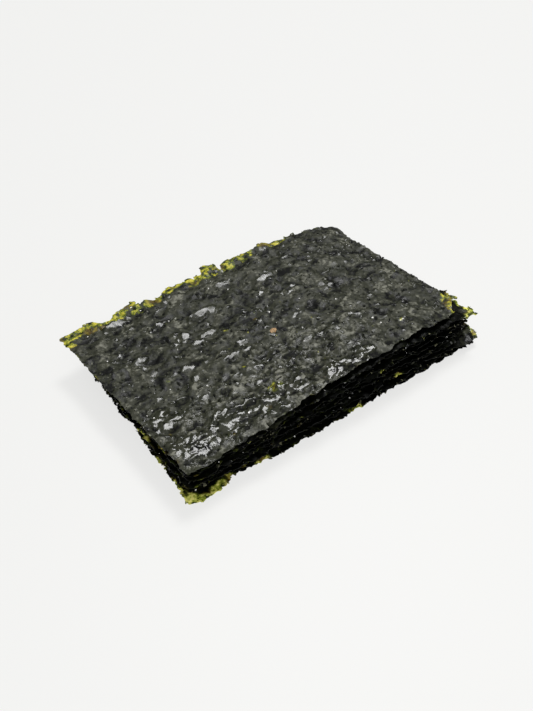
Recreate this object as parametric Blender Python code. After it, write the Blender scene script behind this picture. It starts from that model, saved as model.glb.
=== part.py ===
"""Nori crisps: a squared-up stack of thin roasted seaweed sheets.

Each sheet is one solid. It waves within its own share of the stack's height, so that no sheet
meets the next, and its edge is ragged, torn at a few places and cut at the corners. +X runs along
the sheets' long side, +Y from the front edge to the back edge, and +Z up. The origin is under the
middle of the stack, on the surface that it lies on.
"""

import math

import bpy
import numpy as np
from mathutils.geometry import delaunay_2d_cdt

MM = 0.001

# Driving dimensions: one sheet, and the stack that the sheets make.
SHEET_LENGTH = 86.0 * MM
SHEET_WIDTH = 54.6 * MM
SHEET_THICKNESS = 0.3 * MM
SHEET_COUNT = 10
STACK_HEIGHT_LEFT = 10.4 * MM
STACK_ARCH = 3.7 * MM
STACK_RIGHT_LIFT = 1.0 * MM
LEAST_GAP = 0.32 * MM

# The arch is highest a little right of the middle and dies away over this distance.
ARCH_AT_X = 12.0 * MM
ARCH_REACH = 27.0 * MM

# Long waves that every sheet of the stack shares, and the shorter waves that are each sheet's own.
SHARED_WAVE = 0.45 * MM
SHARED_WAVE_LENGTHS = (30.0 * MM, 55.0 * MM)
SHARED_WAVE_SEED = 41
SHARED_WAVE_COUNT = 4
OWN_WAVE_LENGTHS = (15.0 * MM, 30.0 * MM)
OWN_WAVE_SEED = 100
OWN_WAVE_COUNT = 3

# The lowest sheet is flat over this part of its length and width, and lifts in places beyond it.
LOWEST_FLAT_PART = 0.7
LOWEST_LIFT = 0.5 * MM
LOWEST_LIFT_FROM = 0.1

# Ragged edge: how far it strays from the cut line, in waves of these lengths along the edge.
EDGE_STRAY = 0.55 * MM
EDGE_WAVE_LENGTHS = (5.0 * MM, 24.0 * MM)
EDGE_WAVE_COUNT = 7
EDGE_SEED = 300

# Mesh fineness: the top sheet shows whole, the others only at their edges.
EDGE_STEP = 2.1 * MM
FACE_STEP = 6.0 * MM
TOP_EDGE_STEP = 1.6 * MM
TOP_FACE_STEP = 3.1 * MM
FACE_MARGIN = 0.55
SMOOTH_UP_TO = math.radians(40.0)

# Corners in the order in which the outline is walked.
FRONT_LEFT, FRONT_RIGHT, BACK_RIGHT, BACK_LEFT = range(4)
USUAL_CORNER_CUT = 1.2 * MM


class Sheet:
    """Where one sheet lies in the stack and what its cut and torn edge leaves of the rectangle."""

    def __init__(self, shift, turn, moved=None, cuts=None, tears=()):
        self.shift = np.array(shift) * MM
        self.turn = math.radians(turn)
        self.moved = np.zeros((4, 2))
        for corner, move in (moved or {}).items():
            self.moved[corner] = np.array(move) * MM
        self.cuts = [USUAL_CORNER_CUT] * 4
        for corner, size in (cuts or {}).items():
            self.cuts[corner] = size * MM
        self.tears = [(side, start * MM, length * MM, depth * MM)
                      for side, start, length, depth in tears]


# From the lowest sheet to the top one: shift in mm, turn in degrees, how far a corner lies from
# the rectangle's, what is cut off a corner, and the tears, each with the side that it is on, its
# start and length along it, and its depth. A side is named for the corner that it starts from.
SHEETS = (
    Sheet((0.7, -0.9), -0.8, {FRONT_LEFT: (-0.3, -0.5), FRONT_RIGHT: (-1.6, 0.8), BACK_LEFT: (1.2, 0.0)},
          {BACK_LEFT: 6.5, FRONT_LEFT: 0.5, FRONT_RIGHT: 2.6},
          [(FRONT_LEFT, 10.6, 13.0, 1.8), (BACK_LEFT, 18.0, 9.0, 0.9)]),
    Sheet((1.7, 0.3), -1.6, {FRONT_RIGHT: (1.4, -0.6)}, {BACK_LEFT: 5.0, FRONT_RIGHT: 0.6},
          [(FRONT_RIGHT, 12.0, 8.0, 0.9)]),
    Sheet((4.6, -0.3), -1.0, {FRONT_RIGHT: (1.2, -0.2)}, {BACK_LEFT: 3.0, FRONT_RIGHT: 0.5},
          [(FRONT_LEFT, 52.0, 10.0, 0.8)]),
    Sheet((1.8, 0.2), -1.4, {}, {BACK_LEFT: 5.0}, [(BACK_RIGHT, 30.0, 12.0, 1.1)]),
    Sheet((0.3, -0.2), -0.6, {BACK_LEFT: (0.4, 0.0)}, {BACK_LEFT: 7.0, FRONT_RIGHT: 2.2},
          [(BACK_LEFT, 38.0, 8.0, 0.9)]),
    Sheet((2.5, 0.0), -0.7, {BACK_RIGHT: (-1.4, -0.6)}, {BACK_LEFT: 2.4, FRONT_RIGHT: 0.7},
          [(FRONT_RIGHT, 20.0, 10.0, 1.0)]),
    Sheet((1.0, -0.5), 0.2, {BACK_RIGHT: (-1.4, -1.0)}, {BACK_LEFT: 3.2, FRONT_RIGHT: 1.8},
          [(BACK_RIGHT, 8.0, 9.0, 1.0)]),
    Sheet((0.6, 0.0), 0.4, {BACK_RIGHT: (-2.0, -2.0)}, {BACK_LEFT: 2.0, FRONT_RIGHT: 2.4},
          [(FRONT_LEFT, 30.0, 9.0, 0.8)]),
    Sheet((2.2, -0.5), -0.2, {BACK_RIGHT: (-4.6, -2.8), FRONT_RIGHT: (0.5, 0.2)},
          {BACK_LEFT: 1.6, FRONT_RIGHT: 0.6}, [(BACK_LEFT, 8.0, 7.0, 0.8)]),
    Sheet((0.2, 0.5), 1.4, {FRONT_LEFT: (-0.3, 0.0), BACK_LEFT: (-1.6, 2.8), BACK_RIGHT: (-2.4, -2.9)},
          {FRONT_RIGHT: 5.0, BACK_RIGHT: 2.6, BACK_LEFT: 0.7, FRONT_LEFT: 0.7},
          [(FRONT_RIGHT, 16.0, 22.0, 1.0), (BACK_RIGHT, 41.0, 7.0, 0.9), (BACK_RIGHT, 57.0, 6.0, 0.8)]),
)

# Roasted laver: near black with a green cast, the rubbed top face a little greyer.
SHEET_COLOUR = (0.006, 0.010, 0.005)
TOP_COLOUR = (0.042, 0.043, 0.034)
SHEET_ROUGHNESS = 0.55
TOP_ROUGHNESS = 0.42


def waves(seed, lengths, count):
    """A smooth seeded pattern from -1 to 1: the mean of plane waves that run in random directions."""
    draw = np.random.default_rng(seed)
    reach = draw.uniform(*lengths, count)
    heading = draw.uniform(0.0, 2.0 * math.pi, count)
    phase = draw.uniform(0.0, 2.0 * math.pi, count)

    def pattern(x, y):
        along = np.multiply.outer(x, np.cos(heading)) + np.multiply.outer(y, np.sin(heading))
        return np.sin(2.0 * math.pi * along / reach + phase).mean(axis=-1)

    return pattern


def stray(seed, perimeter):
    """A seeded pattern from -1 to 1 along a closed edge: whole waves, so that its ends meet."""
    draw = np.random.default_rng(seed)
    fewest = perimeter / EDGE_WAVE_LENGTHS[1]
    most = perimeter / EDGE_WAVE_LENGTHS[0]
    turns = np.round(draw.uniform(fewest, most, EDGE_WAVE_COUNT))
    phase = draw.uniform(0.0, 2.0 * math.pi, EDGE_WAVE_COUNT)

    def pattern(distance):
        angle = np.multiply.outer(2.0 * math.pi * distance / perimeter, turns) + phase
        return np.sin(angle).mean(axis=-1)

    return pattern


def smooth_step(value):
    """0 below 0, 1 above 1, and a smooth rise between."""
    part = np.clip(value, 0.0, 1.0)
    return part * part * (3.0 - 2.0 * part)


def pitch(x, y):
    """Height that one sheet of the stack has to itself, at a place seen from above.

    The stack is lowest at its left end, arches over the middle as a bell curve, and stays a little
    raised at its right end.
    """
    arch = STACK_ARCH * np.exp(-((x - ARCH_AT_X) / ARCH_REACH) ** 2)
    lift = STACK_RIGHT_LIFT * smooth_step(x / (SHEET_LENGTH / 2.0))
    shared = SHARED_WAVE * waves(SHARED_WAVE_SEED, SHARED_WAVE_LENGTHS, SHARED_WAVE_COUNT)(x, y)
    rise = STACK_HEIGHT_LEFT - SHEET_THICKNESS + arch + lift + shared
    return rise / (SHEET_COUNT - 1)


def underside(level, x, y):
    """Height of a sheet's lower face: its level's share of the stack, plus the sheet's own waves.

    The waves use up to half of what the pitch leaves beside the sheet and the least gap, so that
    two neighbours never meet.
    """
    own = waves(OWN_WAVE_SEED + level, OWN_WAVE_LENGTHS, OWN_WAVE_COUNT)(x, y)
    if level == 0:
        outwards = np.maximum(np.abs(x) / (SHEET_LENGTH / 2.0), np.abs(y) / (SHEET_WIDTH / 2.0))
        loose = smooth_step((outwards - LOWEST_FLAT_PART) / (1.0 - LOWEST_FLAT_PART))
        return LOWEST_LIFT * loose * np.maximum(own - LOWEST_LIFT_FROM, 0.0)
    spare = pitch(x, y) - SHEET_THICKNESS - LEAST_GAP
    return level * pitch(x, y) + spare / 2.0 * own


def rectangle(sheet):
    """The sheet's rectangle with its corners cut, as points and the side that each one starts."""
    half = np.array([SHEET_LENGTH, SHEET_WIDTH]) / 2.0
    corners = half * np.array([(-1, -1), (1, -1), (1, 1), (-1, 1)]) + sheet.moved
    points = []
    sides = []
    for corner in range(4):
        before = corners[corner - 1] - corners[corner]
        after = corners[(corner + 1) % 4] - corners[corner]
        cut = sheet.cuts[corner]
        points.append(corners[corner] + cut * before / np.linalg.norm(before))
        points.append(corners[corner] + cut * after / np.linalg.norm(after))
        sides.extend((None, corner))
    return np.array(points), sides


def outline(sheet, level, step):
    """The sheet's edge seen from above, walked anticlockwise in even steps from its front left.

    Each point of the cut rectangle moves outwards by the ragged edge's stray, and inwards by a
    tear, which is deepest where it starts and runs out over its length.
    """
    points, sides = rectangle(sheet)
    spans = np.roll(points, -1, axis=0) - points
    lengths = np.linalg.norm(spans, axis=1)
    starts = np.concatenate(([0.0], np.cumsum(lengths)))
    perimeter = starts[-1]
    distance = np.linspace(0.0, perimeter, round(perimeter / step), endpoint=False)
    span = np.searchsorted(starts, distance, side="right") - 1
    along = distance - starts[span]
    heading = spans[span] / lengths[span][:, None]
    outward = np.column_stack((heading[:, 1], -heading[:, 0]))
    move = EDGE_STRAY * stray(EDGE_SEED + level, perimeter)(distance)
    for side, start, length, depth in sheet.tears:
        part = (along - start) / length
        torn = (span == sides.index(side)) & (part >= 0.0) & (part < 1.0)
        move = move - np.where(torn, depth * (1.0 - part), 0.0)
    flat = points[span] + heading * along[:, None] + outward * move[:, None]
    turn = np.array([[math.cos(sheet.turn), -math.sin(sheet.turn)],
                     [math.sin(sheet.turn), math.cos(sheet.turn)]])
    return flat @ turn.T + sheet.shift


def face_points(loop, step):
    """Points of an even triangular lattice that lie inside a loop and not too near its edge.

    Every sheet takes its points from the same lattice, so that sheets wave alike between them.
    """
    rows = np.arange(-SHEET_LENGTH, SHEET_LENGTH, step * math.sqrt(3.0) / 2.0)
    columns = np.arange(-SHEET_LENGTH, SHEET_LENGTH, step)
    x, y = np.meshgrid(columns, rows)
    x = x + np.where(np.arange(len(rows)) % 2, step / 2.0, 0.0)[:, None]
    lattice = np.column_stack((x.ravel(), y.ravel()))
    nxt = np.roll(loop, -1, axis=0)
    edge = nxt - loop
    offset = lattice[:, None] - loop
    part = np.clip((offset * edge).sum(-1) / (edge * edge).sum(-1), 0.0, 1.0)
    away = np.linalg.norm(offset - part[..., None] * edge, axis=-1).min(axis=1)
    above = lattice[:, 1, None] < loop[:, 1]
    crosses = above != (lattice[:, 1, None] < nxt[:, 1])
    reach = np.where(crosses, edge[:, 1], 1.0)
    meets = loop[:, 0] + offset[..., 1] / reach * edge[:, 0]
    inside = (crosses & (lattice[:, 0, None] < meets)).sum(axis=1) % 2 == 1
    return lattice[inside & (away > FACE_MARGIN * step)]


def sheet_mesh(name, sheet, level):
    """One sheet as a closed mesh: two faces split into triangles alike, and a rim between them."""
    top = level == SHEET_COUNT - 1
    loop = outline(sheet, level, TOP_EDGE_STEP if top else EDGE_STEP)
    inner = face_points(loop, TOP_FACE_STEP if top else FACE_STEP)
    flat = np.vstack((loop, inner))
    count = len(flat)
    rim = list(range(len(loop)))
    merged = delaunay_2d_cdt([tuple(p) for p in flat], [], [rim], 1, 1e-9)
    origin = [source[0] for source in merged[3]]
    triangles = [[origin[corner] for corner in face] for face in merged[2]]
    low = np.column_stack((flat, underside(level, flat[:, 0], flat[:, 1])))
    high = low + (0.0, 0.0, SHEET_THICKNESS)
    faces = [[corner + count for corner in face] for face in triangles]
    faces += [face[::-1] for face in triangles]
    for here, there in zip(rim, rim[1:] + rim[:1]):
        faces.append([here, there, there + count])
        faces.append([here, there + count, here + count])
    mesh = bpy.data.meshes.new(name)
    mesh.from_pydata(np.vstack((low, high)).tolist(), [], faces)
    mesh.shade_smooth()
    mesh.set_sharp_from_angle(angle=SMOOTH_UP_TO)
    return mesh


def nori(name, colour, roughness):
    """Roasted laver, a plain dark material."""
    material = bpy.data.materials.new(name)
    material.use_nodes = True
    shader = material.node_tree.nodes["Principled BSDF"]
    shader.inputs["Base Color"].default_value = (*colour, 1.0)
    shader.inputs["Roughness"].default_value = roughness
    shader.inputs["Metallic"].default_value = 0.0
    return material


def corners_of(meshes):
    """Lowest and highest corner of a box round several meshes."""
    points = np.array([vertex.co for mesh in meshes for vertex in mesh.vertices])
    return points.min(axis=0), points.max(axis=0)


def build():
    """The whole stack, centred over the origin and standing on it."""
    for thing in list(bpy.data.objects):
        bpy.data.objects.remove(thing)
    names = [f"sheet_{level + 1:02d}" for level in range(SHEET_COUNT)]
    meshes = [sheet_mesh(name, sheet, level)
              for level, (name, sheet) in enumerate(zip(names, SHEETS))]
    low, high = corners_of(meshes)
    middle = (low + high) / 2.0
    for name, mesh in zip(names, meshes):
        top = name == names[-1]
        material = nori(f"{name}_nori", TOP_COLOUR if top else SHEET_COLOUR,
                        TOP_ROUGHNESS if top else SHEET_ROUGHNESS)
        mesh.materials.append(material)
        piece = bpy.data.objects.new(name, mesh)
        piece.location = (-middle[0], -middle[1], -low[2])
        bpy.context.scene.collection.objects.link(piece)


build()
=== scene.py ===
"""Nori crisps, dressed: every sheet of the stack as crinkled, pitted and ragged roasted laver."""

import math
from collections import namedtuple

import bpy
import numpy as np
from bpy.props import FloatProperty, FloatVectorProperty, IntProperty, PointerProperty
from mathutils import Matrix


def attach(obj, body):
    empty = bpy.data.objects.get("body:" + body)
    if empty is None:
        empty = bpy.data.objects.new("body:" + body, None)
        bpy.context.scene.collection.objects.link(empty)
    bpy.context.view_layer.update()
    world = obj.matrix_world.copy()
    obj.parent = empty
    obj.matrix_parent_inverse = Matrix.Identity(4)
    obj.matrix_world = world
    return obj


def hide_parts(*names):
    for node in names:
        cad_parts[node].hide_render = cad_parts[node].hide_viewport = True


bl_info = {
    "name": "Nori crisps",
    "version": (1, 0, 0),
    "blender": (4, 5, 0),
    "location": "3D View > Sidebar > Nori",
    "description": "A stack of roasted, oiled and salted laver sheets",
    "category": "Add Mesh",
}

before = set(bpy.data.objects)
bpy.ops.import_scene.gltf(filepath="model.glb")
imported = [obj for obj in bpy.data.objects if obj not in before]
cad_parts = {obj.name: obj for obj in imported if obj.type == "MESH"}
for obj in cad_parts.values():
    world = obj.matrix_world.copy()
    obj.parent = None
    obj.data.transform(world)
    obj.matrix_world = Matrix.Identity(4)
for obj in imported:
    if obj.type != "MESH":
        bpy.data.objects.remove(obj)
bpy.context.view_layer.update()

MM = 0.001
SHEETS = sorted(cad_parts)
# The sheets are numbered from 1, the lowest, and this is the number of the top one.
TOP = len(SHEETS)
# How far a sheet's grid goes past its CAD solid, in mm. Its ragged edge stays within that.
MARGIN = 2.5
SEED = 700


def linear(code):
    """An sRGB hex colour as linear red, green and blue."""
    parts = [int(code[at:at + 2], 16) / 255.0 for at in (1, 3, 5)]
    return tuple(p / 12.92 if p <= 0.04045 else ((p + 0.055) / 1.055) ** 2.4 for p in parts)


# ---------------------------------------------------------------------------------- patterns

def smooth(value):
    """0 below 0, 1 above 1, and the curve 3t^2 - 2t^3 between."""
    t = np.clip(value, 0.0, 1.0)
    return t * t * (3.0 - 2.0 * t)


def noise(x, y, size, seed):
    """Gradient noise from about -1 to 1.

    Each corner of a square lattice of the given size has a random slope. A point takes the four
    slopes' heights at its place, mixed by the curve 3t^2 - 2t^3, and 1.55 brings their sum to
    that range. The lattice repeats after 256 squares. It is moved off the origin, since all
    noise is 0 at its corners.
    """
    wide = 256
    angle = np.random.default_rng(seed).uniform(0.0, 2.0 * math.pi, (wide, wide))
    u = x / size + 71.3
    v = y / size + 37.7
    i = np.floor(u).astype(int)
    j = np.floor(v).astype(int)
    du = u - i
    dv = v - j
    mix_u = du * du * (3.0 - 2.0 * du)
    mix_v = dv * dv * (3.0 - 2.0 * dv)
    total = 0.0
    for right in (0, 1):
        for up in (0, 1):
            turn = angle[(j + up) % wide, (i + right) % wide]
            height = np.cos(turn) * (du - right) + np.sin(turn) * (dv - up)
            share = (mix_u if right else 1.0 - mix_u) * (mix_v if up else 1.0 - mix_v)
            total = total + share * height
    return 1.55 * total


def layered(x, y, size, seed, layers):
    """Noise with ever finer layers: each is half as wide and half as strong as the last."""
    total = 0.0
    for layer in range(layers):
        turn = 0.9 * layer
        along = x * math.cos(turn) + y * math.sin(turn)
        across = y * math.cos(turn) - x * math.sin(turn)
        total = total + noise(along, across, size * 0.5 ** layer, seed + 17 * layer) * 0.5 ** layer
    return total


def shreds(x, y, size, slimness, seed):
    """Shreds of seaweed pressed on each other, as their height and their tone, both from 0 to 1.

    Each square of a lattice holds one shred, an ellipse of random place, turn and length. Its
    height is its random rank plus a crown that falls to nothing at its rim, and the highest
    shred over a point gives that point its height and its tone. A shred reaches at most two
    squares away.
    """
    wide = 128
    draw = np.random.default_rng(seed)
    place_u, place_v, turn, long, rank, tone = draw.random((6, wide, wide))
    u = x / size + 40.5
    v = y / size + 50.5
    i = np.floor(u).astype(int)
    j = np.floor(v).astype(int)
    best = np.zeros_like(x)
    shade = np.full_like(x, 0.5)
    for right in range(-2, 3):
        for up in range(-2, 3):
            at = ((j + up) % wide, (i + right) % wide)
            du = u - (i + right + place_u[at])
            dv = v - (j + up + place_v[at])
            angle = math.pi * turn[at]
            reach = 0.7 + 0.9 * long[at]
            along = (du * np.cos(angle) + dv * np.sin(angle)) / reach
            across = (dv * np.cos(angle) - du * np.sin(angle)) / (reach * slimness)
            rim = 1.0 - along * along - across * across
            crown = np.sqrt(np.maximum(rim, 0.0))
            height = np.where(rim > 0.0, 0.65 * rank[at] + 0.35 * crown, 0.0)
            higher = height > best
            shade = np.where(higher, tone[at], shade)
            best = np.where(higher, height, best)
    return best, shade


def blurred(values, reach):
    """Values on a grid under a bell curve whose width is given in grid steps."""
    rows, columns = values.shape
    down = np.fft.fftfreq(rows)[:, None]
    along = np.fft.rfftfreq(columns)[None]
    bell = np.exp(-2.0 * (math.pi * reach) ** 2 * (down ** 2 + along ** 2))
    return np.fft.irfft2(np.fft.rfft2(values) * bell, values.shape)


# ------------------------------------------------------------------------- the frame's sheets

class CadSheet:
    """A CAD sheet read from the frame, in mm: its lower face's triangles and their outer edge."""

    def __init__(self, name):
        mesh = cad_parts[name].data
        mesh.calc_loop_triangles()
        points = np.empty(len(mesh.vertices) * 3)
        mesh.vertices.foreach_get("co", points)
        points = np.round(points.reshape(-1, 3) / MM, 4)
        corners = np.empty(len(mesh.loop_triangles) * 3, int)
        mesh.loop_triangles.foreach_get("vertices", corners)
        triangles = points[corners.reshape(-1, 3)]
        normals = np.cross(triangles[:, 1] - triangles[:, 0], triangles[:, 2] - triangles[:, 0])
        steep = normals[:, 2] / np.linalg.norm(normals, axis=1)
        self.lower = triangles[steep < -0.5]
        self.low = points.min(axis=0)
        self.high = points.max(axis=0)
        self.rim = self.outer_edge()

    def outer_edge(self):
        """The edges of the lower face that only one triangle has, as pairs of points."""
        flat = self.lower[:, :, :2].reshape(-1, 2)
        places, index = np.unique(flat, axis=0, return_inverse=True)
        index = index.reshape(-1, 3)
        edges = np.concatenate((index[:, (0, 1)], index[:, (1, 2)], index[:, (2, 0)]))
        edges.sort(axis=1)
        pairs, times = np.unique(edges, axis=0, return_counts=True)
        return places[pairs[times == 1]]

    def underside(self, x, y, step):
        """The lower face's height on a grid, its facets smoothed, and carried on past its edge.

        Each triangle gives its plane's height to the grid points over it. A bell curve of 1.1 mm
        then spreads the heights, divided by the same curve over the points that have one.
        """
        heights = np.zeros((len(y), len(x)))
        known = np.zeros((len(y), len(x)))
        for a, b, c in self.lower:
            low = np.minimum(np.minimum(a, b), c)
            high = np.maximum(np.maximum(a, b), c)
            i0, i1 = np.searchsorted(x, (low[0], high[0]))
            j0, j1 = np.searchsorted(y, (low[1], high[1]))
            gx, gy = np.meshgrid(x[i0:i1], y[j0:j1])
            area = (b[0] - a[0]) * (c[1] - a[1]) - (c[0] - a[0]) * (b[1] - a[1])
            to_b = ((gx - a[0]) * (c[1] - a[1]) - (c[0] - a[0]) * (gy - a[1])) / area
            to_c = ((b[0] - a[0]) * (gy - a[1]) - (gx - a[0]) * (b[1] - a[1])) / area
            over = (to_b >= 0.0) & (to_c >= 0.0) & (to_b + to_c <= 1.0)
            plane = a[2] + to_b * (b[2] - a[2]) + to_c * (c[2] - a[2])
            heights[j0:j1, i0:i1][over] = plane[over]
            known[j0:j1, i0:i1][over] = 1.0
        reach = 1.1 / step
        return blurred(heights, reach) / np.maximum(blurred(known, reach), 1e-4)

    def inset(self, gx, gy):
        """How far a point lies inside the outer edge, in mm, and below 0 outside it.

        It is the distance to the nearest edge piece. A point is inside if a line from it towards
        +X crosses the edge an odd number of times.
        """
        nearest = np.full(gx.shape, np.inf)
        inside = np.zeros(gx.shape, bool)
        for (ax, ay), (bx, by) in self.rim:
            dx = bx - ax
            dy = by - ay
            part = np.clip(((gx - ax) * dx + (gy - ay) * dy) / (dx * dx + dy * dy), 0.0, 1.0)
            away = (gx - ax - part * dx) ** 2 + (gy - ay - part * dy) ** 2
            nearest = np.minimum(nearest, away)
            if dy:
                crosses = (ay > gy) != (by > gy)
                inside ^= crosses & (gx < ax + (gy - ay) / dy * dx)
        return np.where(inside, 1.0, -1.0) * np.sqrt(nearest)


# --------------------------------------------------------------------------- meshes from grids

def joined_to_middle(kept):
    """The part of a grid's kept points that hangs together with its middle, grown step by step."""
    reached = np.zeros_like(kept)
    rows, columns = kept.shape
    reached[rows // 2, columns // 2 - 40:columns // 2 + 40] = True
    reached &= kept
    count = 0
    while count != reached.sum():
        count = reached.sum()
        for _ in range(8):
            grown = reached.copy()
            grown[1:] |= reached[:-1]
            grown[:-1] |= reached[1:]
            grown[:, 1:] |= reached[:, :-1]
            grown[:, :-1] |= reached[:, 1:]
            reached = grown & kept
    return reached


# A cut stays at least this share of a side away from the side's ends, so no sliver is left.
NEAREST_CUT = 0.12
# A mesh is sharp where it folds over by more than this, in degrees.
FOLD_ANGLE = 60.0


def cut_grid(field, values):
    """Triangles where a field on a grid is above 0, cut along the line where it passes 0.

    Each grid square is two triangles, split along alternate diagonals. A triangle keeps its
    corners above 0, and new corners stand on its sides where the field, read as straight along
    the side, is 0, but no nearer to a corner than NEAREST_CUT of the side. A new corner takes
    its values in the same shares as its place. A triangle that keeps one corner or loses one is
    read from that corner on, so that only two kinds of cut are left.
    """
    rows, columns = field.shape
    number = np.arange(rows * columns).reshape(rows, columns)
    a = number[:-1, :-1]
    b = number[:-1, 1:]
    c = number[1:, 1:]
    d = number[1:, :-1]
    odd = ((np.arange(rows - 1)[:, None] + np.arange(columns - 1)[None]) % 2).astype(bool)
    first = np.where(odd[..., None], np.stack((a, b, c), -1), np.stack((a, b, d), -1))
    second = np.where(odd[..., None], np.stack((a, c, d), -1), np.stack((b, c, d), -1))
    triangles = np.concatenate((first.reshape(-1, 3), second.reshape(-1, 3)))
    level = field.ravel()
    above = level[triangles] > 0.0
    count = above.sum(axis=1)
    whole = triangles[count == 3]
    one = triangles[count == 1]
    turn = above[count == 1].argmax(axis=1)
    one = np.take_along_axis(one, (turn[:, None] + np.arange(3)) % 3, axis=1)
    two = triangles[count == 2]
    turn = (~above[count == 2]).argmax(axis=1)
    two = np.take_along_axis(two, (turn[:, None] + np.arange(3)) % 3, axis=1)
    sides = np.concatenate((one[:, (0, 1)], one[:, (0, 2)], two[:, (1, 0)], two[:, (2, 0)]))
    cuts, index = np.unique(sides, axis=0, return_inverse=True)
    index = index.ravel() + rows * columns
    inner = level[cuts[:, 0]]
    share = inner / (inner - level[cuts[:, 1]])
    share = np.clip(share, NEAREST_CUT, 1.0 - NEAREST_CUT)[:, None]
    new = values[cuts[:, 0]] * (1.0 - share) + values[cuts[:, 1]] * share
    one_b, one_c, two_b, two_c = np.split(index, np.cumsum((len(one), len(one), len(two))))
    faces = np.concatenate((
        whole, triangles_of(one[:, 0], one_b, one_c),
        triangles_of(two_b, two[:, 1], two[:, 2]), triangles_of(two_b, two[:, 2], two_c)))
    every = np.concatenate((values, new))
    used, faces = np.unique(faces, return_inverse=True)
    return every[used], faces.reshape(-1, 3)


def triangles_of(a, b, c):
    """Triangles, one to a row, from arrays of the numbers of their three corners."""
    return np.stack((a, b, c), -1).reshape(-1, 3)


def closed_sheet(name, points, faces, bottom, attributes):
    """A thin solid: the faces at their height, the same faces below, turned over, and a rim."""
    count = len(points)
    edges = np.concatenate((faces[:, (0, 1)], faces[:, (1, 2)], faces[:, (2, 0)]))
    forward = edges[:, 0] * count + edges[:, 1]
    backward = edges[:, 1] * count + edges[:, 0]
    rim = edges[~np.isin(forward, backward)]
    below = np.column_stack((points[:, :2], bottom))
    start = rim[:, 0]
    end = rim[:, 1]
    wall = np.concatenate((
        triangles_of(start + count, end + count, end), triangles_of(start + count, end, start)))
    triangles = np.concatenate((faces, faces[:, ::-1] + count, wall))
    twice = {label: np.concatenate((values, values)) for label, values in attributes.items()}
    return mesh_of(name, np.concatenate((points, below)), triangles, twice)


def mesh_of(name, points, triangles, attributes=None):
    """A smooth-shaded mesh from arrays of points in mm and triangles, sharp where it folds over."""
    mesh = bpy.data.meshes.new(name)
    mesh.vertices.add(len(points))
    mesh.vertices.foreach_set("co", (points * MM).astype(np.float32).ravel())
    mesh.loops.add(triangles.size)
    mesh.loops.foreach_set("vertex_index", triangles.astype(np.int32).ravel())
    mesh.polygons.add(len(triangles))
    mesh.polygons.foreach_set("loop_start", np.arange(0, triangles.size, 3, dtype=np.int32))
    mesh.update(calc_edges=True)
    mesh.validate()
    mesh.shade_smooth()
    mesh.set_sharp_from_angle(angle=math.radians(FOLD_ANGLE))
    for label, values in (attributes or {}).items():
        layer = mesh.attributes.new(label, "FLOAT", "POINT")
        layer.data.foreach_set("value", values.astype(np.float32))
    return mesh


# --------------------------------------------------------------------------- the nori's shape

# Where thin green fringe shows: the sheet, the place in mm, and how far it reaches.
GREEN_SPOTS = (
    (1, -45.0, -28.5, 5.0), (1, -35.0, -27.5, 2.6), (1, -24.0, -27.0, 1.8), (1, 4.0, -28.0, 1.8),
    (1, -44.5, -14.0, 2.0), (1, -43.5, -22.5, 2.6), (1, -36.5, -28.0, 2.4), (2, -27.0, -27.5, 2.4),
    (3, 18.0, -27.8, 1.0), (3, 47.5, -27.5, 3.0), (4, -44.5, 2.0, 3.0), (5, -44.5, -8.0, 2.4),
    (6, 44.5, -26.0, 2.6), (6, 12.0, -28.0, 0.7), (7, -43.5, -16.0, 1.5), (8, 43.5, -27.0, 2.6),
    (8, -8.0, -28.0, 1.0), (9, 44.5, -26.5, 4.0), (9, 43.5, -21.5, 3.4), (10, 41.5, -22.5, 4.2),
)

# Where a lower sheet lies open to the light, its painted shade lifted and as pale as the top one:
# sheet, place, reach.
OPEN_SPOTS = (
    (3, 44.0, -28.0, 4.5), (3, -43.0, -26.0, 1.8), (4, 43.0, -28.0, 3.0), (5, 42.0, -28.0, 3.0),
    (6, -43.5, -24.0, 1.8), (7, 43.0, -26.5, 3.0), (8, 42.5, -26.0, 3.0), (8, 6.0, -27.5, 1.6),
    (9, 44.5, -25.0, 3.0), (9, -43.0, -26.0, 2.0), (9, -20.0, -27.0, 2.0),
)

# The lower sheet whose right front corner stands out into the light, and has caught some oil.
TOUCHED = 3

# Where the top sheet's front edge bulges: place, half length, half width, and how far, in mm.
BULGES = ((12.5, -27.5, 3.2, 3.0, 1.0), (30.0, -27.5, 3.0, 3.0, 0.5))

# Thin green flecks of the top sheet: place in mm and reach.
FLECKS = (
    (-14.8, -19.4, 1.9), (-19.6, -23.6, 0.9), (-30.5, -24.8, 0.9), (-40.8, -15.9, 0.8),
    (-12.4, 3.7, 0.7), (-4.7, 2.5, 0.7), (-16.6, -9.8, 0.6), (-33.0, -2.0, 0.6), (24.0, -21.0, 0.7),
)

# Crumpled, shiny places of the top sheet: place in mm, half length, half width, and strength.
CRUMPLES = (
    (-27.6, -20.4, 5.0, 2.8, 1.0), (-20.6, -21.6, 4.4, 2.4, 1.0), (-40.4, -20.6, 2.8, 2.6, 1.0),
    (-37.2, -23.2, 3.6, 2.8, 1.0), (-39.4, -12.6, 3.6, 2.8, 1.0), (-17.8, -25.8, 2.6, 1.3, 0.9),
    (-12.0, -22.6, 3.0, 1.8, 0.9), (0.5, -24.6, 3.4, 1.7, 1.0), (7.8, -24.4, 3.4, 1.9, 1.0),
)

# Long, sharp folds of the top sheet: place in mm, half length, half width, and turn in radians.
RIDGES = (
    (-34.0, -8.3, 2.2, 0.45, 0.02), (-21.9, -19.2, 4.6, 0.5, -0.06),
    (-37.8, -20.4, 4.3, 0.5, -0.17), (-12.0, -11.6, 2.0, 0.42, 0.1), (3.0, 9.0, 2.2, 0.42, 0.05),
)

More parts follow.
